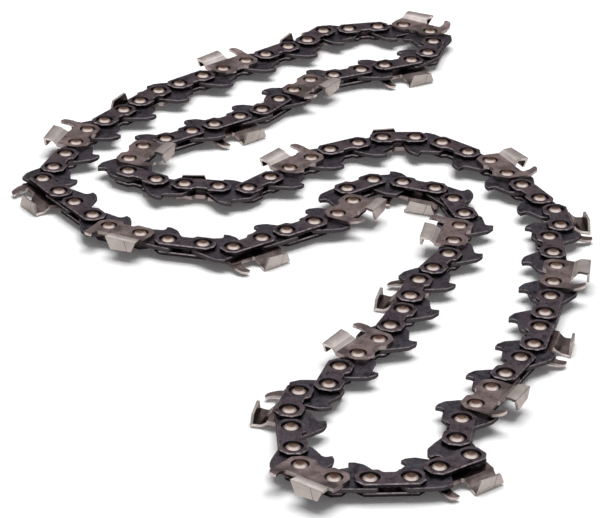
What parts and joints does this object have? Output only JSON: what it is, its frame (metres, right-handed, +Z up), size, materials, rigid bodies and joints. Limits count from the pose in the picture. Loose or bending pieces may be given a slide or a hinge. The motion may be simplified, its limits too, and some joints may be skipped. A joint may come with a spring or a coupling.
{
  "type": "saw chain loop",
  "caption": "Closed loop of low-profile saw chain lying on its side, with riveted drive links, tie straps and chromed cutters, laid in an S-shaped curve.",
  "frame": {"origin": "on the table, under the middle of the loop's plan", "axes": "+Z up, along the rivets; +Y along the length of the loop as it lies, away from the viewer; +X to the viewer's right"},
  "size_m": [0.1719, 0.321, 0.007],
  "materials": {
    "link_steel": "blued, satin",
    "cutter_chrome": "hard chrome, satin",
    "rivet_steel": "bare, spun"
  },
  "bodies": {
    "rear_run": {"rear_bumper_drive_links": "link_steel", "rear_drive_links": "link_steel", "rear_left_hand_cutters": "cutter_chrome", "rear_lower_rivet_heads": "rivet_steel", "rear_lower_tie_straps": "link_steel", "rear_right_hand_cutters": "cutter_chrome", "rear_upper_rivet_heads": "rivet_steel", "rear_upper_tie_straps": "link_steel"},
    "left_strand": {"left_bumper_drive_links": "link_steel", "left_drive_links": "link_steel", "left_hinge_hubs": "rivet_steel", "left_left_hand_cutters": "cutter_chrome", "left_lower_rivet_heads": "rivet_steel", "left_lower_tie_straps": "link_steel", "left_right_hand_cutters": "cutter_chrome", "left_upper_rivet_heads": "rivet_steel", "left_upper_tie_straps": "link_steel"},
    "right_strand": {"right_bumper_drive_links": "link_steel", "right_drive_links": "link_steel", "right_hinge_hubs": "rivet_steel", "right_left_hand_cutters": "cutter_chrome", "right_lower_rivet_heads": "rivet_steel", "right_lower_tie_straps": "link_steel", "right_right_hand_cutters": "cutter_chrome", "right_upper_rivet_heads": "rivet_steel", "right_upper_tie_straps": "link_steel"},
    "front_bend": {"front_bumper_drive_links": "link_steel", "front_drive_links": "link_steel", "front_lower_rivet_heads": "rivet_steel", "front_lower_tie_straps": "link_steel", "front_right_hand_cutters": "cutter_chrome", "front_upper_rivet_heads": "rivet_steel", "front_upper_tie_straps": "link_steel"}
  },
  "joints": [
    {"name": "left_strand_swing", "type": "hinge", "parent": "rear_run", "child": "left_strand", "pos_m": [0.03437, -0.04093, 0.0035], "axis": [0, 0, 1], "range_deg": [-12, 18]},
    {"name": "right_strand_swing", "type": "hinge", "parent": "rear_run", "child": "right_strand", "pos_m": [0.07056, -0.04855, 0.0035], "axis": [0, 0, 1], "range_deg": [-12, 18]},
    {"name": "front_bend_turn", "type": "hinge", "parent": "left_strand", "child": "front_bend", "pos_m": [0.00103, -0.13618, 0.0035], "axis": [0, 0, 1], "range_deg": [-18, 12]}
  ],
  "couplings": [
    {"joint": "right_strand_swing", "follows": "left_strand_swing", "ratio": 1},
    {"joint": "front_bend_turn", "follows": "left_strand_swing", "ratio": -1}
  ]
}
